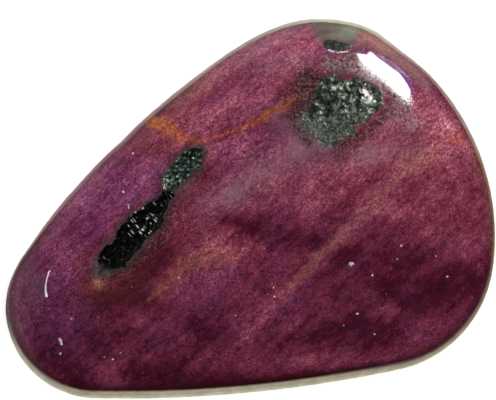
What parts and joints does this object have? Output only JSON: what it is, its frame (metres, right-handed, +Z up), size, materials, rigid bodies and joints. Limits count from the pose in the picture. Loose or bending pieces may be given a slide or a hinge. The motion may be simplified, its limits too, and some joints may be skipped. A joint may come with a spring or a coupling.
{
  "type": "ruby cabochon",
  "caption": "Polished freeform cabochon of opaque purplish red ruby with dark green mineral grains in it, domed on top and flat on the back.",
  "frame": {"origin": "on the flat back, under the middle of the outline's bounding box", "axes": "+X along the stone's length towards its broad end, +Y across it, +Z up through the dome"},
  "size_m": [0.0398, 0.0312, 0.006],
  "materials": {
    "polished_ruby": "mottled purplish red corundum, polished on the dome and ground matt on the girdle and back"
  },
  "bodies": {
    "root": {"ruby": "polished_ruby"}
  },
  "joints": []
}
